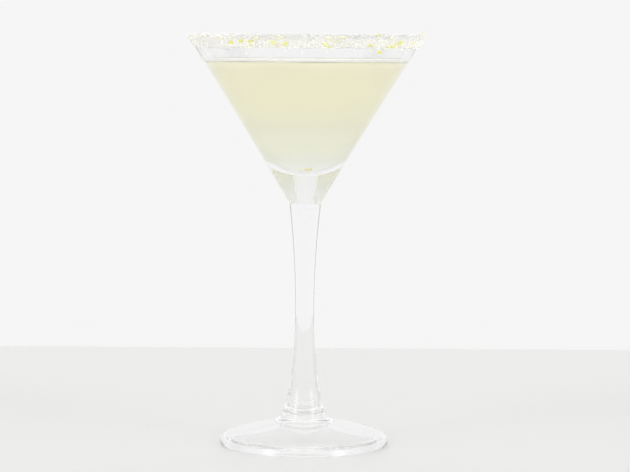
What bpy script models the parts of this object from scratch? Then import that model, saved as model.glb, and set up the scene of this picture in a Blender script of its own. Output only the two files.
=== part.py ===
# A lemon drop cocktail in its stemmed glass: the glass, the drink in it, and the sugar and zest
# round its rim. Metres, +Z up, the origin under the middle of the foot.

import math
import random

import bpy
from mathutils import Matrix, Vector, noise

MM = 0.001

# Glass, outside
RIM_HEIGHT = 175.8 * MM
RIM_RADIUS = 50.7 * MM
CONE_FOOT_HEIGHT = 105.0 * MM
CONE_FOOT_RADIUS = 7.3 * MM
CONE_BOW = 0.6 * MM  # how far the cone's side curves in from a straight line
CORNER_HEIGHT = 103.4 * MM
CORNER_RADIUS = 6.8 * MM
WAIST_HEIGHT = 58.0 * MM
WAIST_RADIUS = 4.1 * MM
FLARE_HEIGHT = 18.0 * MM
FLARE_RADIUS = 7.9 * MM
FOOT_RADIUS = 36.4 * MM
FOOT_CREST_HEIGHT = 10.4 * MM
FOOT_CREST_RADIUS = 12.0 * MM
FOOT_LIP_HEIGHT = 4.3 * MM
FOOT_LIP_WIDTH = 2.0 * MM
FOOT_BRIM_HEIGHT = 3.5 * MM  # where the lip's top, carried on, would meet the upright edge
FOOT_EDGE_HEIGHT = 1.6 * MM
FOOT_FLAT_RADIUS = 35.8 * MM
FOOT_FLAT_WIDTH = 1.1 * MM
FOOT_THICKNESS = 2.2 * MM
FOOT_BOSS_HEIGHT = 3.2 * MM  # the solid middle that the stem ends in hangs down to here
FOOT_BOSS_RADIUS = 10.6 * MM
ROUNDNESS = 0.6  # how far towards the corner a rounding's bends lie, as a share

# The two bends of each curve along the stem and the foot's dome, as (radius, height)
UPPER_STEM_BENDS = ((5.4 * MM, 92.0 * MM), (4.1 * MM, 76.0 * MM))
LOWER_STEM_BENDS = ((4.1 * MM, 44.0 * MM), (5.0 * MM, 30.0 * MM))
FLARE_BENDS = ((8.8 * MM, 14.5 * MM), (10.0 * MM, 11.2 * MM))
DOME_BENDS = ((18.0 * MM, 8.6 * MM), (26.0 * MM, 7.9 * MM))

# Glass, inside
WALL_AT_RIM = 1.5 * MM
WALL_AT_BASE = 2.2 * MM
ROUNDING_HEIGHT = 140.0 * MM  # where the inner wall leaves the cone for the rounded bottom
BOTTOM_HEIGHT = 119.2 * MM
BOTTOM_BREADTH = 0.36  # how far the bottom stays level, as a share of the radius at the rounding
ROUNDING_INSET = 1.5 * MM

# Drink
DRINK_LEVEL = 164.8 * MM
MENISCUS_RISE = 0.8 * MM
MENISCUS_WIDTH = 2.0 * MM
MENISCUS_KNEE = 0.4  # how far it has risen a quarter of its width from the wall, as a share

# Sugar on the rim
GAP = 0.3 * MM  # between solids that touch
CRUST_DROP_OUTSIDE = 5.2 * MM
CRUST_DROP_INSIDE = 3.4 * MM
CRUST_THICKNESS = 0.8 * MM
CRUST_TOP_THICKNESS = 1.2 * MM
CRUST_EDGE_THICKNESS = 0.45 * MM
CRUST_RELIEF = 0.3 * MM
CRUST_EDGE_WANDER = 0.7 * MM
GRAIN_SPACING = 1.6 * MM
EDGE_WAVE = 3 * GRAIN_SPACING
SPREAD = (0.1, 0.9)  # where a scattered piece lies in its share of the turn
LUMP_COUNT = 36
LUMP_SIZES = (1.2 * MM, 1.9 * MM)
LUMP_BREADTH = 0.8  # as a share of its length
LUMP_THICKNESS = 0.9 * MM
LUMP_DROPS = (-0.4, 0.8)  # as shares of the crust's drop outside

# A clump of sugar and zest at the right end of the rim
CLUMP_SIDEWAYS = 49.3 * MM
CLUMP_TOP_SIZE = (2.8 * MM, 2.4 * MM, 1.7 * MM)
CLUMP_SIDE_DROP = 0.6 * MM
CLUMP_SIDE_SIZE = (2.6 * MM, 3.2 * MM, 1.4 * MM)

# Zest flecks. The front ones are (sideways from the axis, below the rim's top, length) in millimetres.
FRONT_FLECKS = (
    (-48.9, 2.2, 1.2), (-44.5, 0.0, 3.0), (-34.8, 1.5, 1.3), (-31.0, 0.1, 2.5), (-31.0, 3.1, 2.2),
    (-27.0, 2.5, 2.1), (-27.2, 4.5, 0.9), (-22.9, 2.7, 2.8), (-22.9, 4.4, 2.0), (-20.7, 1.4, 2.4),
    (-13.4, 3.3, 3.4), (-10.5, 0.4, 3.4), (-8.4, 3.6, 2.0), (-10.0, 5.0, 2.0), (7.7, 3.8, 2.4),
    (9.2, 1.2, 2.6), (9.2, 4.9, 1.6), (12.0, 2.3, 0.9), (14.3, 0.4, 3.2), (26.6, 4.2, 1.6),
    (30.4, -0.4, 2.6), (33.0, 3.8, 1.2), (34.0, 5.0, 1.0), (35.3, 0.3, 2.0), (36.0, 4.7, 2.0),
    (37.5, 3.6, 2.0), (39.0, 3.1, 2.1), (45.1, 2.9, 2.0),
)
BACK_FLECK_COUNT = 22
FLECK_LENGTHS = (1.2 * MM, 2.8 * MM)
FLECK_WIDTH = 1.0 * MM
FLECK_THICKNESS = 0.9 * MM
FLECK_TURN = 0.6  # radians off level, either way
BACK_FLECK_DROPS = (-0.1, 0.85)  # as shares of the crust's drop outside

# Mesh fineness
GLASS_SEGMENTS = 48
CRUST_SEGMENTS = 96
ON_SURFACE = 0.02 * MM  # how near a vertex is to the crust's profile to be taken as on it
SEED = 7


def clear_scene():
    for thing in list(bpy.data.objects):
        bpy.data.objects.remove(thing)


def new_collection(name, hidden=False):
    collection = bpy.data.collections.new(name)
    bpy.context.scene.collection.children.link(collection)
    collection.hide_render = hidden
    return collection


def new_material(name, color, roughness, transmission=0.0, ior=1.5):
    material = bpy.data.materials.new(name)
    material.use_nodes = True
    shader = material.node_tree.nodes["Principled BSDF"]
    shader.inputs["Base Color"].default_value = (*color, 1.0)
    shader.inputs["Roughness"].default_value = roughness
    shader.inputs["Metallic"].default_value = 0.0
    shader.inputs["Transmission Weight"].default_value = transmission
    shader.inputs["IOR"].default_value = ior
    material.diffuse_color = (*color, 1.0)
    return material


def between(start, end, share):
    return start + (end - start) * share


def bezier(p0, p1, p2, p3, count):
    """Points along a cubic Bezier, without its first point."""
    points = []
    for step in range(1, count + 1):
        t = step / count
        weights = ((1 - t) ** 3, 3 * t * (1 - t) ** 2, 3 * t * t * (1 - t), t ** 3)
        points.append(tuple(
            sum(weight * point[axis] for weight, point in zip(weights, (p0, p1, p2, p3)))
            for axis in (0, 1)
        ))
    return points


def offset(points, distances):
    """The open profile moved to its left by a distance for each point."""
    moved = []
    for index, (point, distance) in enumerate(zip(points, distances)):
        before = Vector(points[max(index - 1, 0)])
        after = Vector(points[min(index + 1, len(points) - 1)])
        along = (after - before).normalized()
        moved.append((point[0] - along.y * distance, point[1] + along.x * distance))
    return moved


def cone_radius(height):
    """Outer radius of the bowl's cone."""
    share = (height - CONE_FOOT_HEIGHT) / (RIM_HEIGHT - CONE_FOOT_HEIGHT)
    return between(CONE_FOOT_RADIUS, RIM_RADIUS, share) - 4 * CONE_BOW * share * (1 - share)


def cone_slope(height):
    step = 0.1 * MM
    return (cone_radius(height + step) - cone_radius(height - step)) / (2 * step)


def inner_radius(height):
    """Radius of the straight part of the bowl's inside."""
    share = (height - ROUNDING_HEIGHT) / (RIM_HEIGHT - ROUNDING_HEIGHT)
    wall = between(WALL_AT_BASE, WALL_AT_RIM, share)
    return cone_radius(height) - wall * math.hypot(1, cone_slope(height))


def bowl_inside(top, count):
    """The inside of the bowl, from the middle of its bottom up to a height, as (radius, height)."""
    bottom = (0.0, BOTTOM_HEIGHT)
    start = (inner_radius(ROUNDING_HEIGHT), ROUNDING_HEIGHT)
    halfway = between(BOTTOM_HEIGHT, ROUNDING_HEIGHT, 0.5)
    low_bend = (BOTTOM_BREADTH * start[0], BOTTOM_HEIGHT)
    straight_on = start[0] - (ROUNDING_HEIGHT - halfway) * cone_slope(ROUNDING_HEIGHT)
    points = [bottom] + bezier(bottom, low_bend, (straight_on - ROUNDING_INSET, halfway), start, 7)
    for step in range(1, count + 1):
        height = between(ROUNDING_HEIGHT, top, step / count)
        points.append((inner_radius(height), height))
    return points


def rim_round(count):
    """The rounded lip of the bowl, from its inner to its outer edge."""
    inner = inner_radius(RIM_HEIGHT - WALL_AT_RIM / 2)
    outer = cone_radius(RIM_HEIGHT - WALL_AT_RIM / 2)
    middle = (inner + outer) / 2
    points = []
    for step in range(count + 1):
        angle = math.pi * (1 - step / count)
        across = middle + (outer - inner) / 2 * math.cos(angle)
        points.append((across, RIM_HEIGHT - WALL_AT_RIM / 2 * (1 - math.sin(angle))))
    return points


def bowl_outside():
    """The cone from below the lip down to its corner with the stem."""
    top = RIM_HEIGHT - WALL_AT_RIM / 2
    points = []
    for step in range(1, 5):
        height = between(top, CONE_FOOT_HEIGHT, step / 4)
        points.append((cone_radius(height), height))
    return points + [(CORNER_RADIUS, CORNER_HEIGHT)]


def stem():
    """The drawn stem: it narrows to a waist, then widens to the foot's flare."""
    corner = (CORNER_RADIUS, CORNER_HEIGHT)
    waist = (WAIST_RADIUS, WAIST_HEIGHT)
    flare = (FLARE_RADIUS, FLARE_HEIGHT)
    crest = (FOOT_CREST_RADIUS, FOOT_CREST_HEIGHT)
    upper = bezier(corner, *UPPER_STEM_BENDS, waist, 6)
    lower = bezier(waist, *LOWER_STEM_BENDS, flare, 5)
    return upper + lower + bezier(flare, *FLARE_BENDS, crest, 4)


def rounded(start, corner, end, count):
    """A rounded corner from one point to another, without the first."""
    first = tuple(between(at, to, ROUNDNESS) for at, to in zip(start, corner))
    second = tuple(between(at, to, ROUNDNESS) for at, to in zip(end, corner))
    return bezier(start, first, second, end, count)


def foot():
    """The domed foot, its rounded edge, the ring it rests on, the hollow and the boss in its middle."""
    crest = (FOOT_CREST_RADIUS, FOOT_CREST_HEIGHT)
    lip = (FOOT_RADIUS - FOOT_LIP_WIDTH, FOOT_LIP_HEIGHT)
    edge = (FOOT_RADIUS, FOOT_EDGE_HEIGHT)
    flat = (FOOT_FLAT_RADIUS, 0.0)
    ring = (FOOT_FLAT_RADIUS - FOOT_FLAT_WIDTH, 0.0)
    dome = bezier(crest, *DOME_BENDS, lip, 5)
    brim = rounded(lip, (FOOT_RADIUS, FOOT_BRIM_HEIGHT), edge, 2)
    under = rounded(edge, (FOOT_RADIUS, 0.0), flat, 2)
    roof = offset([crest] + dome, [-FOOT_THICKNESS] * (len(dome) + 1))[::-1]
    rise = rounded(ring, (ring[0], roof[0][1]), roof[0], 3)
    boss = rounded(roof[-1], (FOOT_BOSS_RADIUS, FOOT_BOSS_HEIGHT), (0.0, FOOT_BOSS_HEIGHT), 4)
    return dome + brim + under + [ring] + rise + roof[1:] + boss


def turned(name, profile, segments, material, collection, closed=False):
    """A profile of (radius, height) turned about Z. It runs down the outer side, top to bottom."""
    mesh = bpy.data.meshes.new(name)
    edges = [(index, index + 1) for index in range(len(profile) - 1)]
    if closed:
        edges.append((len(profile) - 1, 0))
    mesh.from_pydata([(radius, 0.0, height) for radius, height in profile], edges, [])
    mesh.materials.append(material)
    thing = bpy.data.objects.new(name, mesh)
    collection.objects.link(thing)
    turn = thing.modifiers.new("Turn", "SCREW")
    turn.axis = "Z"
    turn.steps = segments
    turn.render_steps = segments
    turn.use_merge_vertices = True
    turn.merge_threshold = 0.05 * MM
    turn.use_smooth_shade = True
    return thing


def apply_modifiers(thing):
    graph = bpy.context.evaluated_depsgraph_get()
    mesh = bpy.data.meshes.new_from_object(thing.evaluated_get(graph))
    thing.modifiers.clear()
    old = thing.data
    thing.data = mesh
    bpy.data.meshes.remove(old)


def make_glass(collection):
    inside = bowl_inside(RIM_HEIGHT - 2 * WALL_AT_RIM, 3)
    profile = inside + rim_round(4) + bowl_outside() + stem() + foot()
    material = new_material("clear_glass", (0.97, 0.99, 0.98), 0.0, transmission=1.0)
    return turned("glass", profile, GLASS_SEGMENTS, material, collection)


def make_drink(collection):
    wall = bowl_inside(DRINK_LEVEL + MENISCUS_RISE, 3)
    side = offset(wall, [GAP] * len(wall))
    side[0] = (0.0, BOTTOM_HEIGHT + GAP)
    edge = side[-1]
    surface = [(0.0, DRINK_LEVEL), (edge[0] - MENISCUS_WIDTH, DRINK_LEVEL)]
    surface.append((edge[0] - MENISCUS_WIDTH / 4, between(DRINK_LEVEL, edge[1], MENISCUS_KNEE)))
    material = new_material("cloudy_lemon", (0.86, 0.84, 0.66), 0.1)
    return turned("drink", surface + side[::-1], GLASS_SEGMENTS, material, collection)


def rim_path():
    """The glass under the crust, from low inside the bowl, over the lip, to low outside."""
    path = []
    for share in (0.0, 0.5):
        height = RIM_HEIGHT - between(CRUST_DROP_INSIDE, WALL_AT_RIM / 2, share)
        path.append((inner_radius(height), height))
    path += rim_round(3)
    for step in (1, 2, 3):
        height = RIM_HEIGHT - between(WALL_AT_RIM / 2, CRUST_DROP_OUTSIDE, step / 3)
        path.append((cone_radius(height), height))
    return path


def crust_surface():
    """The crust's outer side along the rim path, thickest on top and thin at both of its edges."""
    path = rim_path()
    last = len(path) - 1
    thickness = []
    for index in range(len(path)):
        if index in (0, last):
            thickness.append(CRUST_EDGE_THICKNESS)
        elif path[index][1] > RIM_HEIGHT - WALL_AT_RIM / 4:
            thickness.append(CRUST_TOP_THICKNESS)
        else:
            thickness.append(CRUST_THICKNESS)
    return offset(path, [GAP + thick for thick in thickness])


def roughen(crust):
    """Moves the crust's outer side by noise of a grain's size, and its lower edge along the wall."""
    slope = Vector((cone_slope(RIM_HEIGHT), 1.0)).normalized()
    surface = crust_surface()
    path = rim_path()
    low_edge = surface[-1][1] + GAP
    for vertex in crust.data.vertices:
        point = vertex.co.copy()
        outward = Vector((point.x, point.y, 0.0)).normalized()
        radius = math.hypot(point.x, point.y)
        nearest = min((Vector((radius, point.z)) - Vector(spot)).length for spot in surface)
        if nearest < ON_SURFACE:
            vertex.co += vertex.normal * (CRUST_RELIEF * noise.noise(point / GRAIN_SPACING))
        if point.z < low_edge and radius > between(path[0][0], path[-1][0], 0.5):
            along = outward * slope.x + Vector((0, 0, slope.y))
            vertex.co += along * (CRUST_EDGE_WANDER * noise.noise(point / EDGE_WAVE))


def on_crust(sideways_angle, drop):
    """A point of the crust's outer side and its outward direction, by angle from the front."""
    surface = crust_surface()
    height = RIM_HEIGHT - drop
    spot = max(surface, key=lambda point: point[1])
    normal = Vector((0.0, 1.0))
    outside = surface[surface.index(spot):]
    for upper, lower in zip(outside, outside[1:]):
        if lower[1] <= height <= upper[1]:
            share = (upper[1] - height) / (upper[1] - lower[1])
            spot = (between(upper[0], lower[0], share), height)
            down = (Vector(lower) - Vector(upper)).normalized()
            normal = Vector((-down.y, down.x))
    out = Vector((math.sin(sideways_angle), -math.cos(sideways_angle), 0.0))
    point = out * spot[0] + Vector((0, 0, spot[1]))
    return point, (out * normal.x + Vector((0, 0, normal.y))).normalized()


def small_piece(name, size, point, normal, spin, collection):
    """A 20-sided piece lying on a surface, its length turned about the surface's normal."""
    bpy.ops.mesh.primitive_ico_sphere_add(subdivisions=1, radius=0.5)
    piece = bpy.context.object
    piece.name = name
    lie = normal.to_track_quat("Z", "Y").to_matrix().to_4x4()
    turn = Matrix.Rotation(spin, 4, "Z")
    stretch = Matrix.Diagonal((*size, 1.0))
    piece.data.transform(Matrix.Translation(point) @ lie @ turn @ stretch)
    for home in list(piece.users_collection):
        home.objects.unlink(piece)
    collection.objects.link(piece)
    return piece


def make_flecks(draw, collection):
    radius = RIM_RADIUS + GAP + CRUST_THICKNESS
    flecks = [
        (math.asin(side * MM / radius), drop * MM, length * MM) for side, drop, length in FRONT_FLECKS
    ]
    for index in range(BACK_FLECK_COUNT):
        angle = math.pi * (0.5 + (index + draw.uniform(*SPREAD)) / BACK_FLECK_COUNT)
        drop = draw.uniform(*BACK_FLECK_DROPS) * CRUST_DROP_OUTSIDE
        flecks.append((angle, drop, draw.uniform(*FLECK_LENGTHS)))
    for index, (angle, drop, length) in enumerate(flecks):
        point, normal = on_crust(angle, drop)
        width = min(length, FLECK_WIDTH)
        spin = draw.uniform(-FLECK_TURN, FLECK_TURN)
        small_piece(f"fleck_{index}", (length, width, FLECK_THICKNESS), point, normal, spin, collection)


def make_lumps(draw, collection):
    for index in range(LUMP_COUNT):
        angle = math.tau * (index + draw.uniform(*SPREAD)) / LUMP_COUNT
        drop = draw.uniform(*LUMP_DROPS) * CRUST_DROP_OUTSIDE
        size = draw.uniform(*LUMP_SIZES)
        point, normal = on_crust(angle, drop)
        shape = (size, LUMP_BREADTH * size, LUMP_THICKNESS)
        small_piece(f"lump_{index}", shape, point, normal, draw.uniform(0, math.pi), collection)


def make_clump(collection):
    angle = math.asin(CLUMP_SIDEWAYS / (RIM_RADIUS + GAP))
    for name, drop, size in (
        ("clump_top", -CRUST_TOP_THICKNESS, CLUMP_TOP_SIZE),
        ("clump_side", CLUMP_SIDE_DROP, CLUMP_SIDE_SIZE),
    ):
        point, normal = on_crust(angle, drop)
        small_piece(name, size, point, normal, 0.0, collection)


def make_sugar_rim(collection):
    surface = crust_surface()
    path = rim_path()
    under = offset(path, [GAP] * len(path))
    material = new_material("sugar", (0.93, 0.92, 0.86), 0.5)
    crust = turned("sugar_rim", surface + under[::-1], CRUST_SEGMENTS, material, collection, closed=True)
    apply_modifiers(crust)
    roughen(crust)
    pieces = new_collection("crust_pieces", hidden=True)
    draw = random.Random(SEED)
    make_flecks(draw, pieces)
    make_lumps(draw, pieces)
    make_clump(pieces)
    join = crust.modifiers.new("Join", "BOOLEAN")
    join.operation = "UNION"
    join.operand_type = "COLLECTION"
    join.collection = pieces
    join.solver = "MANIFOLD"
    apply_modifiers(crust)
    for piece in list(pieces.objects):
        bpy.data.objects.remove(piece)
    bpy.data.collections.remove(pieces)
    return crust


def main():
    clear_scene()
    collection = new_collection("lemon_drop_cocktail")
    make_glass(collection)
    make_drink(collection)
    make_sugar_rim(collection)


main()
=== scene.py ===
import math
import random

import bpy
import bmesh
from mathutils import Matrix, Vector, noise


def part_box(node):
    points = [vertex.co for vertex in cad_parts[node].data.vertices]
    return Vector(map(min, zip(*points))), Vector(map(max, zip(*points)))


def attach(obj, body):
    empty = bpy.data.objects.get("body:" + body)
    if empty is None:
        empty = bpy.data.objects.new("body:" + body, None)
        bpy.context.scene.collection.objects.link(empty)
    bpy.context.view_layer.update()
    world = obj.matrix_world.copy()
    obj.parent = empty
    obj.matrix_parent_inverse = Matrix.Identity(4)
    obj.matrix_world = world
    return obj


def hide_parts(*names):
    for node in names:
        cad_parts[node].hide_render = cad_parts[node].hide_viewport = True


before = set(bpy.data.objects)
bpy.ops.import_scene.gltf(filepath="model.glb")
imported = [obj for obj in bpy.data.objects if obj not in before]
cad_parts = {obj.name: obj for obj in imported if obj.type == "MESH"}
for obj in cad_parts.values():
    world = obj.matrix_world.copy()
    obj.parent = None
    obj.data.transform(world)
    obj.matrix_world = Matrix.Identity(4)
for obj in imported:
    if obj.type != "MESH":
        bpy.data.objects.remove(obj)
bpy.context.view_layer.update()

mm = 0.001


# Shared helpers

def between(start, end, share):
    return start + (end - start) * share


def bezier(p0, p1, p2, p3, count):
    points = []
    for step in range(1, count + 1):  # leaves out the first point
        t = step / count
        weights = ((1 - t) ** 3, 3 * t * (1 - t) ** 2, 3 * t * t * (1 - t), t ** 3)
        points.append(tuple(
            sum(weight * point[axis] for weight, point in zip(weights, (p0, p1, p2, p3)))
            for axis in (0, 1)
        ))
    return points


def rounded(start, corner, end, count):
    pull = 0.6  # how far the bends reach towards the corner, as a share
    first = tuple(between(at, to, pull) for at, to in zip(start, corner))
    second = tuple(between(at, to, pull) for at, to in zip(end, corner))
    return bezier(start, first, second, end, count)


def offset(points, distances):
    moved = []
    for index, (point, distance) in enumerate(zip(points, distances)):
        before = Vector(points[max(index - 1, 0)])
        after = Vector(points[min(index + 1, len(points) - 1)])
        along = (after - before).normalized()
        moved.append((point[0] - along.y * distance, point[1] + along.x * distance))
    return moved


def newObject(name, data):
    thing = bpy.data.objects.new(name, data)
    bpy.context.scene.collection.objects.link(thing)
    return thing


def bake(thing):
    graph = bpy.context.evaluated_depsgraph_get()
    mesh = bpy.data.meshes.new_from_object(thing.evaluated_get(graph))
    thing.modifiers.clear()
    old = thing.data
    thing.data = mesh
    bpy.data.meshes.remove(old)


def turned(name, profile, segments):
    mesh = bpy.data.meshes.new(name)
    edges = [(index, index + 1) for index in range(len(profile) - 1)]
    mesh.from_pydata([(radius, 0.0, height) for radius, height in profile], edges, [])
    thing = newObject(name, mesh)
    turn = thing.modifiers.new("Turn", "SCREW")
    turn.axis = "Z"
    turn.steps = segments
    turn.render_steps = segments
    turn.use_merge_vertices = True
    turn.merge_threshold = 0.01 * mm
    turn.use_smooth_shade = True
    bake(thing)
    return thing


def putInto(mesh, shape):
    bmesh.ops.recalc_face_normals(shape, faces=shape.faces)
    shape.to_mesh(mesh)
    shape.free()
    return mesh


def principled(material):
    return material.node_tree.nodes["Principled BSDF"]


def newMaterial(name, color, finish):
    material = bpy.data.materials.new(name)
    material.use_nodes = True
    for socket, value in {"Base Color": (*color, 1.0), **finish}.items():
        principled(material).inputs[socket].default_value = value
    material.diffuse_color = (*color, 1.0)
    return material


def backlit(look):  # painted glow: emission in the piece's own colour that stands in for what comes through from behind
    glow = {"Emission Color": (*look["color"], 1.0), "Emission Strength": look["backlight"]}
    return {**look["finish"], **glow}


def place(piece, node):
    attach(piece, "root")
    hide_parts(node)


# Glass: the CAD profile again, with more points and segments

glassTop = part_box("glass")[1].z
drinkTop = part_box("drink")[1].z

glassShape = {
    "rimHeight": glassTop,
    "rimRadius": 50.7 * mm,
    # points of the outline and the bends between them, as radius and height
    "coneFoot": (7.3 * mm, 105.0 * mm),
    "coneBow": 0.6 * mm,
    "cornerBends": ((6.88 * mm, 104.3 * mm), (6.82 * mm, 103.9 * mm)),
    "corner": (6.8 * mm, 103.4 * mm),
    "upperStemBends": ((5.4 * mm, 92.0 * mm), (4.1 * mm, 76.0 * mm)),
    "waist": (4.1 * mm, 58.0 * mm),
    "lowerStemBends": ((4.1 * mm, 44.0 * mm), (5.0 * mm, 30.0 * mm)),
    "flare": (7.9 * mm, 18.0 * mm),
    "flareBends": ((8.8 * mm, 14.5 * mm), (10.0 * mm, 11.2 * mm)),
    "crest": (12.0 * mm, 10.4 * mm),
    "domeBends": ((18.0 * mm, 8.6 * mm), (26.0 * mm, 7.9 * mm)),
    "footRadius": 36.4 * mm,
    "lipWidth": 2.0 * mm,
    "lipHeight": 4.3 * mm,
    "brimHeight": 3.5 * mm,
    "edgeHeight": 1.6 * mm,
    "flatRadius": 35.8 * mm,
    "flatWidth": 1.1 * mm,
    "footThickness": 2.2 * mm,
    "bossHeight": 3.2 * mm,
    "bossRadius": 10.6 * mm,
    "wallAtRim": 1.5 * mm,
    "wallAtBase": 2.2 * mm,
    "roundingHeight": 140.0 * mm,
    "roundingInset": 1.5 * mm,
    "bottomHeight": 119.2 * mm,
    "bottomBreadth": 0.36,  # how far out the bottom stays flat, as a share of the radius above it
    # points along each stretch
    "steps": {
        "bottom": 24, "wall": 12, "rim": 10, "cone": 14, "corner": 5, "upperStem": 24, "lowerStem": 20,
        "flare": 14, "dome": 15, "bend": 8, "boss": 12,
    },
    "slopeStep": 0.1 * mm,
    "segments": 224,
    "tint": (0.988, 0.99, 0.992),
    "finish": {"Roughness": 0.0, "Transmission Weight": 1.0, "IOR": 1.5},
}


def coneRadius(height):
    shape = glassShape
    low = shape["coneFoot"]
    share = (height - low[1]) / (shape["rimHeight"] - low[1])
    return between(low[0], shape["rimRadius"], share) - 4 * shape["coneBow"] * share * (1 - share)


def coneSlope(height):
    step = glassShape["slopeStep"]
    return (coneRadius(height + step) - coneRadius(height - step)) / (2 * step)


def innerRadius(height):
    shape = glassShape
    share = (height - shape["roundingHeight"]) / (shape["rimHeight"] - shape["roundingHeight"])
    wall = between(shape["wallAtBase"], shape["wallAtRim"], share)
    return coneRadius(height) - wall * math.hypot(1, coneSlope(height))


def bowlInside(top, curveCount, wallCount):
    low = glassShape["bottomHeight"]
    high = glassShape["roundingHeight"]
    bottom = (0.0, low)
    start = (innerRadius(high), high)
    halfway = between(low, high, 0.5)
    lowBend = (glassShape["bottomBreadth"] * start[0], low)
    straightOn = start[0] - (high - halfway) * coneSlope(high)
    highBend = (straightOn - glassShape["roundingInset"], halfway)
    points = [bottom] + bezier(bottom, lowBend, highBend, start, curveCount)
    for step in range(1, wallCount + 1):
        height = between(high, top, step / wallCount)
        points.append((innerRadius(height), height))
    return points


def rimRound(count):
    edge = glassShape["rimHeight"] - glassShape["wallAtRim"] / 2
    inner = innerRadius(edge)
    outer = coneRadius(edge)
    points = []
    for step in range(count + 1):
        angle = math.pi * (1 - step / count)
        across = (inner + outer) / 2 + (outer - inner) / 2 * math.cos(angle)
        points.append((across, edge + glassShape["wallAtRim"] / 2 * math.sin(angle)))
    return points


def bowlOutside():
    steps = glassShape["steps"]
    top = glassShape["rimHeight"] - glassShape["wallAtRim"] / 2
    low = glassShape["coneFoot"]
    points = []
    for step in range(1, steps["cone"] + 1):
        height = between(top, low[1], step / steps["cone"])
        points.append((coneRadius(height), height))
    return points + bezier(low, *glassShape["cornerBends"], glassShape["corner"], steps["corner"])


def stem():
    shape = glassShape
    steps = shape["steps"]
    upper = bezier(shape["corner"], *shape["upperStemBends"], shape["waist"], steps["upperStem"])
    lower = bezier(shape["waist"], *shape["lowerStemBends"], shape["flare"], steps["lowerStem"])
    return upper + lower + bezier(shape["flare"], *shape["flareBends"], shape["crest"], steps["flare"])


def foot():
    shape = glassShape
    steps = shape["steps"]
    outer = shape["footRadius"]
    lip = (outer - shape["lipWidth"], shape["lipHeight"])
    edge = (outer, shape["edgeHeight"])
    flat = (shape["flatRadius"], 0.0)
    ring = (shape["flatRadius"] - shape["flatWidth"], 0.0)
    dome = bezier(shape["crest"], *shape["domeBends"], lip, steps["dome"])
    brim = rounded(lip, (outer, shape["brimHeight"]), edge, steps["bend"])
    under = rounded(edge, (outer, 0.0), flat, steps["bend"])
    roof = offset([shape["crest"]] + dome, [-shape["footThickness"]] * (len(dome) + 1))[::-1]
    rise = rounded(ring, (ring[0], roof[0][1]), roof[0], steps["bend"])
    middle = (0.0, shape["bossHeight"])
    boss = rounded(roof[-1], (shape["bossRadius"], shape["bossHeight"]), middle, steps["boss"])
    return dome + brim + under + [ring] + rise + roof[1:] + boss


def makeGlass():
    steps = glassShape["steps"]
    underRim = glassShape["rimHeight"] - 2 * glassShape["wallAtRim"]
    inside = bowlInside(underRim, steps["bottom"], steps["wall"])
    profile = inside + rimRound(steps["rim"]) + bowlOutside() + stem() + foot()
    glass = turned("glassBody", profile, glassShape["segments"])
    glass.data.materials.append(newMaterial("clearGlass", glassShape["tint"], glassShape["finish"]))
    place(glass, "glass")


# Drink: reaches just into the wall, so that no air shows between them

drinkLook = {
    "underTop": 0.7 * mm,  # the level, below the top of the CAD drink's edge
    "meniscusRise": 0.8 * mm,
    "meniscusWidth": 2.0 * mm,
    "climbBends": ((0.8 * mm, 0.0), (0.2 * mm, 0.12 * mm)),  # in from the wall, above the level
    "flatEdge": 0.5 * mm,  # a second point this far in keeps the middle's shading flat
    "intoWall": 0.15 * mm,
    "steps": (24, 14, 8),  # points along the bottom, the wall and the meniscus
    "segments": 192,
    "surfaceTilt": 0.2,  # faces that look up more than this belong to the surface
    # share of the depth, colour there
    "colors": (
        (0.05, (0.77, 0.77, 0.72)), (0.13, (0.77, 0.775, 0.69)), (0.22, (0.81, 0.815, 0.70)),
        (0.33, (0.86, 0.855, 0.73)), (0.47, (0.89, 0.88, 0.725)), (0.65, (0.91, 0.895, 0.715)),
        (0.92, (0.92, 0.90, 0.725)), (1.0, (0.95, 0.93, 0.76)),
    ),
    # each noise is its scale and detail, each range the part of it that counts
    "cloud": {"noise": (45, 2), "wander": 9 * mm},  # makes the bands of colour uneven
    "specks": {"noise": (900, 0), "range": (0.79, 0.84), "most": 0.7, "color": (0.86, 0.83, 0.62)},
    # painted shade: the dark line that the meniscus shows through the wall, starting a little above the
    # level
    "line": {
        "above": 0.25 * mm, "softness": 0.1 * mm, "noise": (60, 1), "range": (0.35, 0.6), "least": 0.35,
        "color": (0.62, 0.60, 0.53),
    },
    "bottomLight": 0.15,  # painted glow for what comes through the narrow bottom, from all round it
    "bottomLightTop": 0.42,  # share of the depth
    "bottomLightColor": (0.94, 0.97, 0.97),
    "topLight": 0.08,  # painted glow for what the surface lets in from above, just under it
    "topLightDepth": 2.5 * mm,
    "topLightColor": (0.95, 0.93, 0.76),
    "surfaceColor": (0.90, 0.885, 0.71),
    "climbColor": (0.85, 0.85, 0.82),  # where the surface climbs the wall
    "climbFade": (0.02 * mm, 0.15 * mm),  # heights above the level
    "edgeGlow": 0.2,  # painted glow added to the reflection, for light that the sides throw back where the glass shows them edge-on
    # the same painted glow on the open surface's reflection
    "surfaceGlow": 0.2,
    "wettedIor": 1.33 / 1.5,  # glass seen from inside against the drink
    "openIor": 1.33,
    "finish": {"Roughness": 0.6, "Specular IOR Level": 0.0},
}
drinkLevel = drinkTop - drinkLook["underTop"]


def link(tree, output, socket):
    tree.links.new(output, socket)


def mapRange(tree, value, low, high, toLow=0.0, toHigh=1.0):
    node = tree.nodes.new("ShaderNodeMapRange")
    node.inputs["From Min"].default_value = low
    node.inputs["From Max"].default_value = high
    node.inputs["To Min"].default_value = toLow
    node.inputs["To Max"].default_value = toHigh
    link(tree, value, node.inputs["Value"])
    return node.outputs["Result"]


def mathNode(tree, operation, first, second=None):
    node = tree.nodes.new("ShaderNodeMath")
    node.operation = operation
    for socket, value in zip(node.inputs, (first, second)):
        if value is None:
            continue
        if isinstance(value, (int, float)):
            socket.default_value = value
        else:
            link(tree, value, socket)
    return node.outputs[0]


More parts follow.
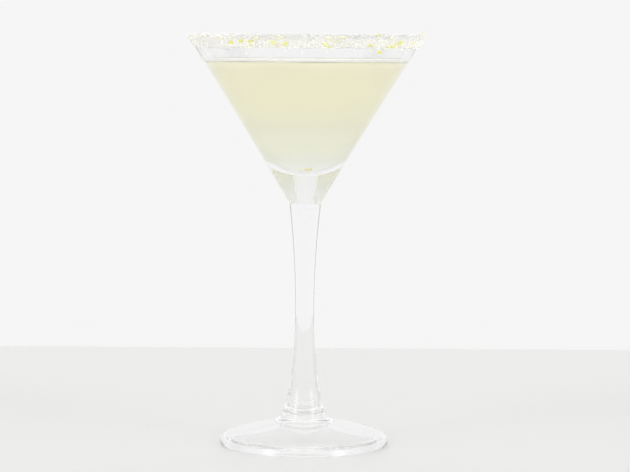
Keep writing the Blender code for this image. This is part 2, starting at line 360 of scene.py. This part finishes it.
def mixColor(tree, factor, first, second):
    node = tree.nodes.new("ShaderNodeMix")
    node.data_type = "RGBA"
    link(tree, factor, node.inputs["Factor"])
    colors = [socket for socket in node.inputs if socket.type == "RGBA"]
    for socket, value in zip(colors, (first, second)):
        if isinstance(value, tuple):
            socket.default_value = (*value, 1)
        else:
            link(tree, value, socket)
    return next(socket for socket in node.outputs if socket.type == "RGBA")


def noiseValue(tree, coordinates, scale, detail):
    node = tree.nodes.new("ShaderNodeTexNoise")
    node.inputs["Scale"].default_value = scale
    node.inputs["Detail"].default_value = detail
    link(tree, coordinates, node.inputs["Vector"])
    return node.outputs["Fac"]


def position(tree):
    coordinates = tree.nodes.new("ShaderNodeTexCoord").outputs["Object"]
    split = tree.nodes.new("ShaderNodeSeparateXYZ")
    link(tree, coordinates, split.inputs[0])
    return coordinates, split.outputs["Z"]


def colorRamp(tree, value, stops):
    ramp = tree.nodes.new("ShaderNodeValToRGB")
    elements = ramp.color_ramp.elements  # two from the start
    for index, (share, color) in enumerate(stops):
        element = elements[index] if index < 2 else elements.new(share)
        element.position = share
        element.color = (*color, 1)
    link(tree, value, ramp.inputs["Fac"])
    return ramp.outputs["Color"]


def drinkColor(tree):
    cloud = drinkLook["cloud"]
    specks = drinkLook["specks"]
    line = drinkLook["line"]
    coordinates, height = position(tree)
    uneven = mathNode(tree, "SUBTRACT", noiseValue(tree, coordinates, *cloud["noise"]), 0.5)
    wander = mathNode(tree, "MULTIPLY", uneven, cloud["wander"])
    share = mapRange(tree, mathNode(tree, "ADD", height, wander), glassShape["bottomHeight"], drinkLevel)
    bands = colorRamp(tree, share, drinkLook["colors"])
    grain = noiseValue(tree, coordinates, *specks["noise"])
    amount = mapRange(tree, grain, *specks["range"], 0.0, specks["most"])
    speckled = mixColor(tree, amount, bands, specks["color"])
    # painted shade for the meniscus line, in uneven patches
    start = drinkLevel + line["above"]
    inLine = mapRange(tree, height, start, start + line["softness"])
    patches = noiseValue(tree, coordinates, *line["noise"])
    strength = mapRange(tree, patches, *line["range"], line["least"], 1.0)
    return mixColor(tree, mathNode(tree, "MULTIPLY", inLine, strength), speckled, line["color"])


# painted light: an emission that is strongest at the bottom and just under the surface
def addInnerLight(material):
    look = drinkLook
    tree = material.node_tree
    shader = principled(material)
    height = position(tree)[1]
    start = drinkLevel - look["topLightDepth"]
    near = mapRange(tree, height, start, drinkLevel)
    upper = mathNode(tree, "MULTIPLY", mathNode(tree, "POWER", near, 2.0), look["topLight"])
    low = glassShape["bottomHeight"]
    reach = between(low, drinkLevel, look["bottomLightTop"])
    lower = mapRange(tree, height, low, reach, look["bottomLight"], 0.0)
    link(tree, mathNode(tree, "ADD", upper, lower), shader.inputs["Emission Strength"])
    which = mapRange(tree, height, reach, start)
    light = mixColor(tree, which, look["bottomLightColor"], look["topLightColor"])
    link(tree, light, shader.inputs["Emission Color"])


def climbColor(tree):
    low, high = drinkLook["climbFade"]
    climb = mapRange(tree, position(tree)[1], drinkLevel + low, drinkLevel + high)
    return mixColor(tree, climb, drinkLook["surfaceColor"], drinkLook["climbColor"])


def cloudyMaterial(name, ior, glow):
    material = newMaterial(name, drinkLook["surfaceColor"], drinkLook["finish"])
    tree = material.node_tree
    shine = tree.nodes.new("ShaderNodeBsdfGlossy")
    shine.inputs["Roughness"].default_value = 0.0
    edge = tree.nodes.new("ShaderNodeFresnel")
    edge.inputs["IOR"].default_value = ior
    blend = tree.nodes.new("ShaderNodeMixShader")
    link(tree, edge.outputs["Fac"], blend.inputs["Fac"])
    # painted glow added to the mirror lobe, so it shows most where the surface is seen edge-on
    lit = tree.nodes.new("ShaderNodeEmission")
    lit.inputs["Strength"].default_value = glow
    both = tree.nodes.new("ShaderNodeAddShader")
    link(tree, shine.outputs["BSDF"], both.inputs[0])
    link(tree, lit.outputs["Emission"], both.inputs[1])
    link(tree, principled(material).outputs["BSDF"], blend.inputs[1])
    link(tree, both.outputs["Shader"], blend.inputs[2])
    link(tree, blend.outputs["Shader"], tree.nodes["Material Output"].inputs["Surface"])
    return material


def makeDrink():
    look = drinkLook
    bottomSteps, wallSteps, climbSteps = look["steps"]
    wall = bowlInside(drinkLevel + look["meniscusRise"], bottomSteps, wallSteps)
    side = offset(wall, [-look["intoWall"]] * len(wall))
    side[0] = (0.0, wall[0][1] - look["intoWall"])
    edge = wall[-1]
    inner = (edge[0] - look["meniscusWidth"], drinkLevel)
    bends = [(edge[0] - back, drinkLevel + rise) for back, rise in look["climbBends"]]
    climb = bezier(inner, *bends, edge, climbSteps)
    flat = [(0.0, drinkLevel), (inner[0] - look["flatEdge"], drinkLevel), inner]
    drink = turned("cloudyDrink", flat + climb + side[::-1], look["segments"])
    body = cloudyMaterial("drinkBody", look["wettedIor"], look["edgeGlow"])
    link(body.node_tree, drinkColor(body.node_tree), principled(body).inputs["Base Color"])
    addInnerLight(body)
    surface = cloudyMaterial("drinkSurface", look["openIor"], look["surfaceGlow"])
    link(surface.node_tree, climbColor(surface.node_tree), principled(surface).inputs["Base Color"])
    drink.data.materials.append(body)
    drink.data.materials.append(surface)
    for face in drink.data.polygons:
        inward = face.normal.x * face.center.x + face.normal.y * face.center.y < 0
        face.material_index = int(inward or face.normal.z > look["surfaceTilt"])
    place(drink, "drink")


# Sugar: a thin wet coat over the lip, with crystals on it

coatLook = {
    "segments": 420,
    "steps": (6, 8, 10),  # points inside the bowl, over the rim and outside
    "dropOutside": 4.8 * mm,
    "dropInside": 3.0 * mm,
    "gap": 0.03 * mm,
    "topThickness": 0.8 * mm,
    "topReach": 4.5,  # points each way from the top of the lip, over which this thickness fades
    "sideThickness": 0.3 * mm,
    "edgeThickness": 0.06 * mm,
    "edgeReach": 8,  # points over which the coat thickens from its edge
    "edgeWander": 1.3 * mm,
    # waves round the rim: the outer edge, its finer share, and the inner edge
    "edgeWaves": (4, 14, 6),
    "fineShare": 0.6,
    "relief": 0.15 * mm,
    "reliefSize": (9, 0.5, 3),  # round the rim, per point across it, and both together
    "noiseStep": 7.3,  # keeps the noises of the edges apart
    "color": (0.915, 0.915, 0.885),
    "backlight": 0.03,  # painted glow for what comes through it from behind
    "finish": {"Roughness": 0.45, "Transmission Weight": 0.4, "IOR": 1.4},
}


def aroundNoise(angle, waves, channel):
    spot = (waves * math.cos(angle), waves * math.sin(angle), coatLook["noiseStep"] * channel)
    return noise.noise(Vector(spot))


def rimPath(dropInside, dropOutside):
    rim = glassShape["rimHeight"]
    half = glassShape["wallAtRim"] / 2
    insideSteps, rimSteps, outsideSteps = coatLook["steps"]
    path = []
    for step in range(insideSteps):
        height = rim - between(dropInside, half, step / insideSteps)
        path.append((innerRadius(height), height))
    path += rimRound(rimSteps)
    for step in range(1, outsideSteps + 1):
        height = rim - between(half, dropOutside, step / outsideSteps)
        path.append((coneRadius(height), height))
    return path


def coatOutside(angle):
    look = coatLook
    coarse, fine, within = look["edgeWaves"]
    wander = aroundNoise(angle, coarse, 1) + look["fineShare"] * aroundNoise(angle, fine, 2)
    outside = look["dropOutside"] + look["edgeWander"] * wander
    path = rimPath(look["dropInside"] + look["edgeWander"] * aroundNoise(angle, within, 3), outside)
    around, across, both = look["reliefSize"]
    top = look["steps"][0] + look["steps"][1] // 2
    last = len(path) - 1
    thickness = []
    for index in range(len(path)):
        share = min(min(index, last - index) / look["edgeReach"], 1.0)
        side = between(look["edgeThickness"], look["sideThickness"], share)
        over = max(0.0, 1 - abs(index - top) / look["topReach"])
        thick = side + (look["topThickness"] - look["sideThickness"]) * over
        spot = Vector((around * math.cos(angle), around * math.sin(angle), across * index))
        thickness.append(look["gap"] + thick + look["relief"] * share * noise.noise(both * spot))
    return path, offset(path, thickness)


def ringMesh(name, rings, closed):
    count = len(rings)
    points = len(rings[0])
    vertices = [tuple(point) for ring in rings for point in ring]
    faces = []
    for turn in range(count):
        following = (turn + 1) % count
        for index in range(points if closed else points - 1):
            further = (index + 1) % points
            faces.append((
                turn * points + index, turn * points + further,
                following * points + further, following * points + index,
            ))
    mesh = bpy.data.meshes.new(name)
    mesh.from_pydata(vertices, [], faces)
    return mesh


def closedMesh(name, rings):
    mesh = ringMesh(name, rings, True)
    shape = bmesh.new()
    shape.from_mesh(mesh)
    putInto(mesh, shape)
    mesh.polygons.foreach_set("use_smooth", [True] * len(mesh.polygons))
    return mesh


def atAngle(profile, angle):
    side = math.sin(angle)
    front = -math.cos(angle)
    return [Vector((radius * side, radius * front, height)) for radius, height in profile]


def makeCoat():
    rings = []
    for turn in range(coatLook["segments"]):
        angle = math.tau * turn / coatLook["segments"]
        path, surface = coatOutside(angle)
        under = offset(path, [coatLook["gap"]] * len(path))
        rings.append(atAngle(surface + under[::-1], angle))
    mesh = closedMesh("sugarCoat", rings)
    mesh.materials.append(newMaterial("wetSugar", coatLook["color"], backlit(coatLook)))
    place(newObject("sugarCoat", mesh), "sugar_rim")


crystalLook = {
    "spacing": 0.46 * mm,
    "mostPerSquareMetre": 9e6,
    "sizes": (0.5 * mm, 0.8 * mm),
    # sides, and how far out from the middle one corner is cut off
    "blocks": (((1.0, 0.85, 0.7), 0.55), ((0.9, 0.9, 0.85), 0.67), ((1.0, 0.65, 0.6), 0.79)),
    "strayDrop": 8.5 * mm,
    "straySteps": 4,
    "strayGap": 0.1 * mm,
    "strayDensity": 0.012,
    "patches": {"middle": 0.75, "depth": 0.9, "waves": 9, "across": 0.25},  # of closer and fewer grains
    "edgeShare": 0.25,  # share of the coat's points over which the grains get fewer
    "sparseSide": (-125, -38),  # degrees from the front, to the left
    "sparseFade": 8,  # degrees
    "sparseDensity": 0.2,
    "leastDensity": 0.05,
    "backlight": 0.062,  # painted glow for what comes through them from behind
    "color": (0.925, 0.92, 0.90),
    "yellow": (0.905, 0.895, 0.79),
    "yellowNoise": (500, 1),  # scale and detail
    "yellowRange": (0.48, 0.66),
    "topShadeColor": (0.72, 0.72, 0.69),  # painted shade on the lip's top, which keeps it from shining brighter than the rest under the light from above
    "topFade": (1.6 * mm, 0.2 * mm),  # below the rim's top
    # the scale is how far light spreads inside the grains
    "finish": {
        "Roughness": 0.35, "Subsurface Weight": 1.0, "Subsurface Scale": 1.2 * mm,
        "Subsurface Radius": (1.0, 1.0, 0.9),
    },
    "seed": 11,
}


def makeBlocks():
    blocks = bpy.data.collections.new("crystalBlocks")
    for number, (sides, cut) in enumerate(crystalLook["blocks"]):
        shape = bmesh.new()
        bmesh.ops.create_cube(shape, size=1.0)
        corner = max(shape.verts, key=lambda vertex: sum(vertex.co)).co.copy()
        bmesh.ops.bisect_plane(
            shape, geom=shape.verts[:] + shape.edges[:] + shape.faces[:],
            plane_co=corner * cut, plane_no=corner, clear_outer=True,
        )
        bmesh.ops.contextual_create(shape, geom=[edge for edge in shape.edges if edge.is_boundary])
        shape.transform(Matrix.Diagonal((*sides, 1.0)))
        mesh = putInto(bpy.data.meshes.new(f"block{number}"), shape)
        blocks.objects.link(bpy.data.objects.new(f"block{number}", mesh))
    return blocks


def grainDensity(angle, share):
    look = crystalLook
    patches = look["patches"]
    spot = Vector((math.cos(angle), math.sin(angle), patches["across"] * share)) * patches["waves"]
    patchy = patches["middle"] + patches["depth"] * noise.noise(spot)
    edge = min(1.0, share / look["edgeShare"])
    degrees = math.degrees(math.atan2(math.sin(angle), math.cos(angle)))
    low, high = look["sparseSide"]
    fromEnds = min(degrees - low, high - degrees)
    inSparse = min(max(fromEnds / look["sparseFade"], 0), 1)
    return max(look["leastDensity"], patchy * edge * between(1.0, look["sparseDensity"], inSparse))


def carrier():
    look = crystalLook
    rings = []
    densities = []
    for turn in range(coatLook["segments"]):
        angle = math.tau * turn / coatLook["segments"]
        path, surface = coatOutside(angle)
        last = len(path) - 1
        for index in range(last + 1):
            densities.append(grainDensity(angle, min(index + 1, last - index + 1) / last))
        drop = glassShape["rimHeight"] - surface[-1][1]
        for step in range(1, look["straySteps"] + 1):
            height = glassShape["rimHeight"] - between(drop, look["strayDrop"], step / look["straySteps"])
            surface.append((coneRadius(height) + look["strayGap"], height))
            densities.append(look["strayDensity"])
        rings.append(atAngle(surface, angle))
    mesh = ringMesh("crystalCarrier", rings, False)
    attribute = mesh.attributes.new("density", "FLOAT", "POINT")
    attribute.data.foreach_set("value", densities)
    return newObject("sugarCrystals", mesh)


def scatterTree():
    tree = bpy.data.node_groups.new("scatterCrystals", "GeometryNodeTree")
    kinds = (
        ("Geometry", "NodeSocketGeometry"), ("Blocks", "NodeSocketCollection"),
        ("Spacing", "NodeSocketFloat"), ("Most", "NodeSocketFloat"),
        ("Smallest", "NodeSocketFloat"), ("Largest", "NodeSocketFloat"),
        ("Seed", "NodeSocketInt"), ("Material", "NodeSocketMaterial"),
    )
    for name, kind in kinds:
        tree.interface.new_socket(name, in_out="INPUT", socket_type=kind)
    tree.interface.new_socket("Geometry", in_out="OUTPUT", socket_type="NodeSocketGeometry")
    given = tree.nodes.new("NodeGroupInput").outputs
    density = tree.nodes.new("GeometryNodeInputNamedAttribute")
    density.data_type = "FLOAT"
    density.inputs["Name"].default_value = "density"
    points = tree.nodes.new("GeometryNodeDistributePointsOnFaces")
    points.distribute_method = "POISSON"
    link(tree, given["Geometry"], points.inputs["Mesh"])
    link(tree, given["Spacing"], points.inputs["Distance Min"])
    link(tree, given["Most"], points.inputs["Density Max"])
    link(tree, density.outputs["Attribute"], points.inputs["Density Factor"])
    link(tree, given["Seed"], points.inputs["Seed"])
    source = tree.nodes.new("GeometryNodeCollectionInfo")
    source.inputs["Separate Children"].default_value = True
    source.inputs["Reset Children"].default_value = True
    link(tree, given["Blocks"], source.inputs["Collection"])
    spin = tree.nodes.new("FunctionNodeRandomValue")
    spin.data_type = "FLOAT_VECTOR"
    spin.inputs["Max"].default_value = (math.tau, math.tau, math.tau)
    size = tree.nodes.new("FunctionNodeRandomValue")
    size.data_type = "FLOAT"
    sizeSockets = [socket for socket in size.inputs if socket.type == "VALUE"]
    link(tree, given["Smallest"], sizeSockets[0])
    link(tree, given["Largest"], sizeSockets[1])
    copies = tree.nodes.new("GeometryNodeInstanceOnPoints")
    copies.inputs["Pick Instance"].default_value = True
    link(tree, points.outputs["Points"], copies.inputs["Points"])
    link(tree, source.outputs["Instances"], copies.inputs["Instance"])
    link(tree, spin.outputs["Value"], copies.inputs["Rotation"])
    link(tree, next(socket for socket in size.outputs if socket.type == "VALUE"), copies.inputs["Scale"])
    real = tree.nodes.new("GeometryNodeRealizeInstances")
    link(tree, copies.outputs["Instances"], real.inputs["Geometry"])
    painted = tree.nodes.new("GeometryNodeSetMaterial")
    link(tree, real.outputs["Geometry"], painted.inputs["Geometry"])
    link(tree, given["Material"], painted.inputs["Material"])
    result = tree.nodes.new("NodeGroupOutput")
    link(tree, painted.outputs["Geometry"], result.inputs["Geometry"])
    return tree


def crystalMaterial():
    look = crystalLook
    material = newMaterial("sugarGrain", look["color"], backlit(look))
    tree = material.node_tree
    coordinates, height = position(tree)
    patches = noiseValue(tree, coordinates, *look["yellowNoise"])
    tinted = mapRange(tree, patches, *look["yellowRange"])
    grains = mixColor(tree, tinted, look["color"], look["yellow"])
    # painted shade: the grains darken towards the top of the lip
    low, high = [glassShape["rimHeight"] - depth for depth in look["topFade"]]
    onTop = mapRange(tree, height, low, high)
    topped = mixColor(tree, onTop, grains, look["topShadeColor"])
    link(tree, topped, principled(material).inputs["Base Color"])
    return material


def makeCrystals():
    crystals = carrier()
    tree = scatterTree()
    scatter = crystals.modifiers.new("Scatter", "NODES")
    scatter.node_group = tree
    values = {
        "Blocks": makeBlocks(),
        "Spacing": crystalLook["spacing"],
        "Most": crystalLook["mostPerSquareMetre"],
        "Smallest": crystalLook["sizes"][0],
        "Largest": crystalLook["sizes"][1],
        "Seed": crystalLook["seed"],
        "Material": crystalMaterial(),
    }
    for item in tree.interface.items_tree:
        if item.in_out == "INPUT" and item.name in values:
            scatter[item.identifier] = values[item.name]
    bake(crystals)
    crystals.data.polygons.foreach_set("use_smooth", [False] * len(crystals.data.polygons))
    print("crystal faces", len(crystals.data.polygons))
    place(crystals, "sugar_rim")


# Zest: short curled strips, at the front where the photograph has them and spread out behind

zestLook = {
    # (sideways from the axis, below the rim's top, length, width) in millimetres, and the kind
    "front": (
        (-48.9, 2.2, 1.1, 0.8, "pale"), (-44.5, 0.2, 2.6, 0.7, "pale"),
        (-34.8, 1.5, 1.2, 0.9, "pale"), (-31.0, 0.3, 2.2, 0.7, "pale"),
        (-31.0, 3.1, 1.7, 1.6, "bright"), (-27.0, 2.5, 1.7, 1.4, "bright"),
        (-27.2, 4.5, 0.9, 0.6, "pale"), (-22.9, 2.7, 2.2, 0.7, "bright"),
        (-22.9, 4.4, 1.7, 0.6, "orange"), (-20.7, 1.4, 2.0, 1.1, "orange"),
        (-13.4, 3.3, 3.0, 1.5, "soft"), (-10.5, 0.4, 2.8, 0.9, "orange"),
        (-8.4, 3.6, 1.6, 1.1, "bright"), (-10.0, 5.0, 1.8, 0.9, "pale"),
        (7.7, 3.8, 2.0, 1.2, "soft"), (9.2, 1.2, 2.2, 1.2, "pale"),
        (9.2, 4.9, 1.3, 0.7, "bright"), (12.0, 2.3, 0.9, 0.8, "soft"),
        (14.3, 0.4, 2.7, 1.0, "orange"), (26.6, 4.2, 1.4, 1.1, "bright"),
        (30.4, -0.4, 2.2, 0.8, "green"), (33.0, 3.8, 1.1, 0.9, "pale"),
        (34.0, 5.0, 1.0, 0.7, "bright"), (35.3, 0.3, 1.8, 0.9, "pale"),
        (36.0, 4.7, 1.7, 1.2, "bright"), (37.5, 3.6, 2.0, 1.5, "orange"),
        (39.0, 3.0, 2.2, 1.8, "bright"), (45.1, 2.9, 1.8, 1.0, "orange"),
    ),
    "raised": 0.9 * mm,  # a front strip lies this far above the drop in the list
    "strays": ((30.1, 6.4, 1.8, 1.5, "bright"), (26.6, 5.8, 0.7, 0.6, "pale")),
    "backCount": 22,
    "backSpan": (101, 259),  # degrees from the front
    "backJitter": (0.1, 0.9),  # share of a strip's part of the span
    "backDrops": (-0.1, 0.85),  # shares of the coat's drop
    "backLengths": (1.2 * mm, 2.8 * mm),
    "backWidth": 1.1 * mm,
    "backLift": 0.5 * mm,
    "lift": 0.7 * mm,
    "strayLift": 0.25 * mm,
    "lip": {"inset": 0.6 * mm, "highest": 0.9 * mm, "normal": (0.6, 0.8)},  # for a drop below zero
    "thickness": 0.6 * mm,
    "turn": 0.6,  # radians each way
    "curl": 0.12,  # share of the length
    "colors": {
        "bright": (0.83, 0.825, 0.24), "green": (0.72, 0.78, 0.08), "soft": (0.88, 0.87, 0.46),
        "orange": (0.90, 0.865, 0.60), "pale": (0.91, 0.91, 0.70),
    },
    "finish": {"Roughness": 0.45, "Subsurface Weight": 0.3, "Subsurface Scale": 0.5 * mm},
    "seed": 7,
}

# one strip's cross-sections, in shares of its own width and thickness
stripForm = {
    "sections": 5,
    "endWidth": 0.55,
    "endShares": (0.08, 0.92),
    "widths": (0.85, 1.15),
    "heights": (0.8, 1.1),
    "topWidth": 0.8,
    "sway": 0.12,
}


def stripShape(length, width, thickness, curl, draw):
    form = stripForm
    first, last = form["endShares"]
    rings = []
    for step in range(form["sections"]):
        share = step / (form["sections"] - 1)
        along = (share - 0.5) * length
        taper = between(form["endWidth"], 1.0, math.sin(math.pi * min(max(share, first), last)))
        half = 0.5 * width * taper * draw.uniform(*form["widths"])
        high = 0.5 * thickness * draw.uniform(*form["heights"])
        bend = curl * length * (1 - 4 * (share - 0.5) ** 2)
        sway = form["sway"] * width * draw.uniform(-1, 1)
        top = form["topWidth"] * half
        rings.append([
            Vector((along, sway - half, bend - high)), Vector((along, sway + half, bend - high)),
            Vector((along, sway + top, bend + high)), Vector((along, sway - top, bend + high)),
        ])
    return rings


def addStrip(shape, rings, matrix, kind):
    loops = [[shape.verts.new(matrix @ point) for point in ring] for ring in rings]
    faces = [shape.faces.new(loops[0]), shape.faces.new(loops[-1][::-1])]
    for first, second in zip(loops, loops[1:]):
        for index in range(4):
            further = (index + 1) % 4
            faces.append(shape.faces.new((first[index], second[index], second[further], first[further])))
    for face in faces:
        face.material_index = kind


def outAt(angle):
    return Vector((math.sin(angle), -math.cos(angle), 0.0))


def lyingOn(point, normal):
    across = Vector((0, 0, 1)).cross(normal).normalized()
    axes = Matrix((across, normal.cross(across), normal)).transposed()
    return Matrix.Translation(point) @ axes.to_4x4()


def onWall(angle, drop, lift):
    out = outAt(angle)
    if drop < 0:
        lip = zestLook["lip"]
        height = glassShape["rimHeight"] + min(-drop, lip["highest"])
        point = out * (glassShape["rimRadius"] - lip["inset"]) + Vector((0, 0, height))
        outPart, upPart = lip["normal"]
        return point, (outPart * out + Vector((0, 0, upPart))).normalized()
    height = glassShape["rimHeight"] - drop
    side = (out - Vector((0, 0, coneSlope(height)))).normalized()
    return out * coneRadius(height) + Vector((0, 0, height)) + side * lift, side


def makeZest():
    look = zestLook
    draw = random.Random(look["seed"])
    kinds = list(look["colors"])
    flecks = []
    for side, drop, length, width, kind in look["front"]:
        below = drop * mm if drop < 0 else max(drop * mm - look["raised"], 0.0)
        radius = coneRadius(glassShape["rimHeight"] - max(below, 0.0)) + look["lift"]
        angle = math.asin(side * mm / radius)
        flecks.append((angle, below, length * mm, width * mm, kind, look["lift"]))
    for side, drop, length, width, kind in look["strays"]:
        angle = math.asin(side * mm / coneRadius(glassShape["rimHeight"] - drop * mm))
        flecks.append((angle, drop * mm, length * mm, width * mm, kind, look["strayLift"]))
    for index in range(look["backCount"]):
        share = (index + draw.uniform(*look["backJitter"])) / look["backCount"]
        angle = math.radians(between(*look["backSpan"], share))
        drop = draw.uniform(*look["backDrops"]) * coatLook["dropOutside"]
        length = draw.uniform(*look["backLengths"])
        width = min(length, look["backWidth"])
        flecks.append((angle, drop, length, width, kinds[index % len(kinds)], look["backLift"]))
    shape = bmesh.new()
    for angle, drop, length, width, kind, lift in flecks:
        turn = Matrix.Rotation(draw.uniform(-look["turn"], look["turn"]), 4, "Z")
        rings = stripShape(length, width, look["thickness"], draw.uniform(0.0, look["curl"]), draw)
        addStrip(shape, rings, lyingOn(*onWall(angle, drop, lift)) @ turn, kinds.index(kind))
    mesh = putInto(bpy.data.meshes.new("zestFlecks"), shape)
    for kind in kinds:
        mesh.materials.append(newMaterial(f"{kind}Zest", look["colors"][kind], look["finish"]))
    place(newObject("zestFlecks", mesh), "sugar_rim")


curlLook = {
    "middle": (48.8 * mm, -13.0 * mm, 176.5 * mm),
    "halfWidth": 0.95 * mm,
    "halfHeight": 1.2 * mm,
    "thickness": 0.75 * mm,
    "thinnest": 0.6,  # share of the thickness
    "breadth": 1.3,  # from front to back, as a share of the thickness
    "steps": 28,
    "corners": 8,
    "color": (0.88, 0.88, 0.66),
    "seed": 5,
}


def makeCurl():
    look = curlLook
    draw = random.Random(look["seed"])
    middle = Vector(look["middle"])
    rings = []
    for step in range(look["steps"]):
        angle = math.tau * step / look["steps"]
        out = Vector((math.cos(angle), 0.0, math.sin(angle)))
        spot = middle + Vector((look["halfWidth"] * out.x, 0.0, look["halfHeight"] * out.z))
        half = 0.5 * look["thickness"] * draw.uniform(look["thinnest"], 1.0)
        ring = []
        for corner in range(look["corners"]):
            turn = math.tau * corner / look["corners"]
            back = Vector((0, look["breadth"] * half * math.sin(turn), 0))
            ring.append(spot + out * (half * math.cos(turn)) + back)
        rings.append(ring)
    mesh = closedMesh("curledZest", rings)
    mesh.materials.append(newMaterial("curledZest", look["color"], zestLook["finish"]))
    place(newObject("curledZest", mesh), "sugar_rim")


sunkenLook = {
    "thickness": 0.6 * mm,
    "aboveBottom": 1.8 * mm,
    "intoWall": 0.25 * mm,  # a little further than the drink, so that the strips show
    "curl": -0.02,  # share of the length
    "wallSteps": (60, 2),
    # degrees right of the front, length and width in millimetres, colour
    "strips": (
        (8, 2.6, 2.6, (0.85, 0.76, 0.42)),
        (-12, 2.6, 1.2, (0.90, 0.88, 0.64)),
    ),
    "finish": {"Roughness": 0.5},
    "seed": 3,
}


def makeSunkenZest():
    look = sunkenLook
    draw = random.Random(look["seed"])
    wall = bowlInside(drinkTop, *look["wallSteps"])
    height = glassShape["bottomHeight"] + look["aboveBottom"]
    index = next(index for index, point in enumerate(wall) if point[1] >= height)
    spot = Vector(wall[index])
    along = (Vector(wall[index + 1]) - Vector(wall[index - 1])).normalized()
    inward = look["thickness"] / 2 - look["intoWall"]
    shape = bmesh.new()
    mesh = bpy.data.meshes.new("sunkenZest")
    for kind, (degrees, length, width, color) in enumerate(look["strips"]):
        out = outAt(math.radians(degrees))
        normal = out * along.y - Vector((0, 0, along.x))
        point = out * spot.x + Vector((0, 0, spot.y)) - normal * inward
        rings = stripShape(length * mm, width * mm, look["thickness"], look["curl"], draw)
        addStrip(shape, rings, lyingOn(point, normal), kind)
        mesh.materials.append(newMaterial(f"sunkenZest{kind}", color, look["finish"]))
    putInto(mesh, shape)
    place(newObject("sunkenZest", mesh), "drink")


# Camera, world and floor

cameraPlace = {
    "distance": 1.0,
    "height": 0.176,
    "nearest": 0.01,
    "tilt": 4.91,  # degrees below the horizon
    "roll": -0.35,  # degrees
    "sensorWidth": 36,
    "pixelWidth": 630,
    "pixelFocal": 2330,
    "axisShift": 8.7,  # pixels that the glass stands left of the picture's middle
}


def makeCamera():
    look = cameraPlace
    camera = newObject("camera", bpy.data.cameras.new("camera"))
    camera.data.sensor_width = look["sensorWidth"]
    camera.data.lens = look["sensorWidth"] * look["pixelFocal"] / look["pixelWidth"]
    camera.data.shift_x = look["axisShift"] / look["pixelWidth"]
    camera.data.clip_start = look["nearest"]
    camera.location = (0.0, -look["distance"], look["height"])
    camera.rotation_euler = (math.radians(90 - look["tilt"]), math.radians(look["roll"]), 0.0)
    bpy.context.scene.camera = camera


roomLight = {
    "wall": 0.92,  # as the camera sees it behind the glass
    # degrees round from straight behind the glass, brightness there
    "round": (
        (0, 0.90), (36, 0.90), (41, 0.97), (54, 0.97), (60, 0.45), (78, 0.45), (90, 1.12), (150, 1.14),
        (166, 1.04), (180, 1.02),
    ),
    "ceiling": 1.0,
    "ceilingRise": (0.75, 0.9),  # upward part of a direction, where wall turns into ceiling
    # places in degrees; the fades are degrees at the sides, upward part above and below
    "window": {
        "middle": 126, "halfWidth": 9, "sideFade": 1, "low": 9, "high": 48, "endFade": 0.02,
        "brightness": 3.5,
    },
}


def makeWorld():
    world = bpy.data.worlds.new("studio")
    bpy.context.scene.world = world
    world.use_nodes = True
    tree = world.node_tree
    background = tree.nodes["Background"]
    direction = tree.nodes.new("ShaderNodeTexCoord")
    split = tree.nodes.new("ShaderNodeSeparateXYZ")
    link(tree, direction.outputs["Generated"], split.inputs[0])
    across, forward, upward = [split.outputs[axis] for axis in "XYZ"]
    angle = mathNode(tree, "ABSOLUTE", mathNode(tree, "ARCTAN2", across, forward))
    share = mathNode(tree, "DIVIDE", angle, math.pi)
    levels = [(degrees / 180, (level,) * 3) for degrees, level in roomLight["round"]]
    walls = colorRamp(tree, share, levels)
    rise = mapRange(tree, upward, *roomLight["ceilingRise"])
    upper = mixColor(tree, rise, walls, (roomLight["ceiling"],) * 3)
    window = roomLight["window"]
    half = window["halfWidth"]
    aside = mathNode(tree, "ABSOLUTE", mathNode(tree, "SUBTRACT", share, window["middle"] / 180))
    inside = mapRange(tree, aside, (half + window["sideFade"]) / 180, half / 180)
    low = math.sin(math.radians(window["low"]))
    high = math.sin(math.radians(window["high"]))
    overSill = mapRange(tree, upward, low, low + window["endFade"])
    underTop = mapRange(tree, upward, high + window["endFade"], high)
    pane = mathNode(tree, "MULTIPLY", mathNode(tree, "MULTIPLY", overSill, underTop), inside)
    lit = mixColor(tree, pane, upper, (window["brightness"],) * 3)
    seen = tree.nodes.new("ShaderNodeLightPath")
    plain = mixColor(tree, seen.outputs["Is Camera Ray"], lit, (roomLight["wall"],) * 3)
    link(tree, plain, background.inputs["Color"])
    background.inputs["Strength"].default_value = 1.0


floorLook = {
    "reach": 0.309,
    "thickness": 0.02,
    "below": 0.1 * mm,  # keeps it clear of the foot
    "color": (0.75, 0.747, 0.737),
    "finish": {"Roughness": 0.3},
}


def makeFloor():
    look = floorLook
    shape = bmesh.new()
    bmesh.ops.create_cube(shape, size=1.0)
    size = Matrix.Diagonal((2 * look["reach"], 2 * look["reach"], look["thickness"], 1))
    down = -look["thickness"] / 2 - look["below"]
    shape.transform(Matrix.Translation((0, 0, down)) @ size)
    mesh = putInto(bpy.data.meshes.new("tableTop"), shape)
    mesh.materials.append(newMaterial("tableStone", look["color"], look["finish"]))
    newObject("tableTop", mesh)


def setRender():
    scene = bpy.context.scene
    scene.view_settings.view_transform = "Standard"
    scene.cycles.use_denoising = True
    scene.cycles.max_bounces = 64
    scene.cycles.transmission_bounces = 64
    scene.cycles.glossy_bounces = 48
    scene.cycles.diffuse_bounces = 32
    scene.cycles.sample_clamp_indirect = 0.0
    scene.cycles.blur_glossy = 0.0


makeGlass()
print("glass done")
makeDrink()
makeSunkenZest()
print("drink done")
makeCoat()
makeCrystals()
print("sugar done")
makeZest()
makeCurl()
print("zest done")
makeCamera()
makeWorld()
makeFloor()
setRender()
print("camera, world and floor done")
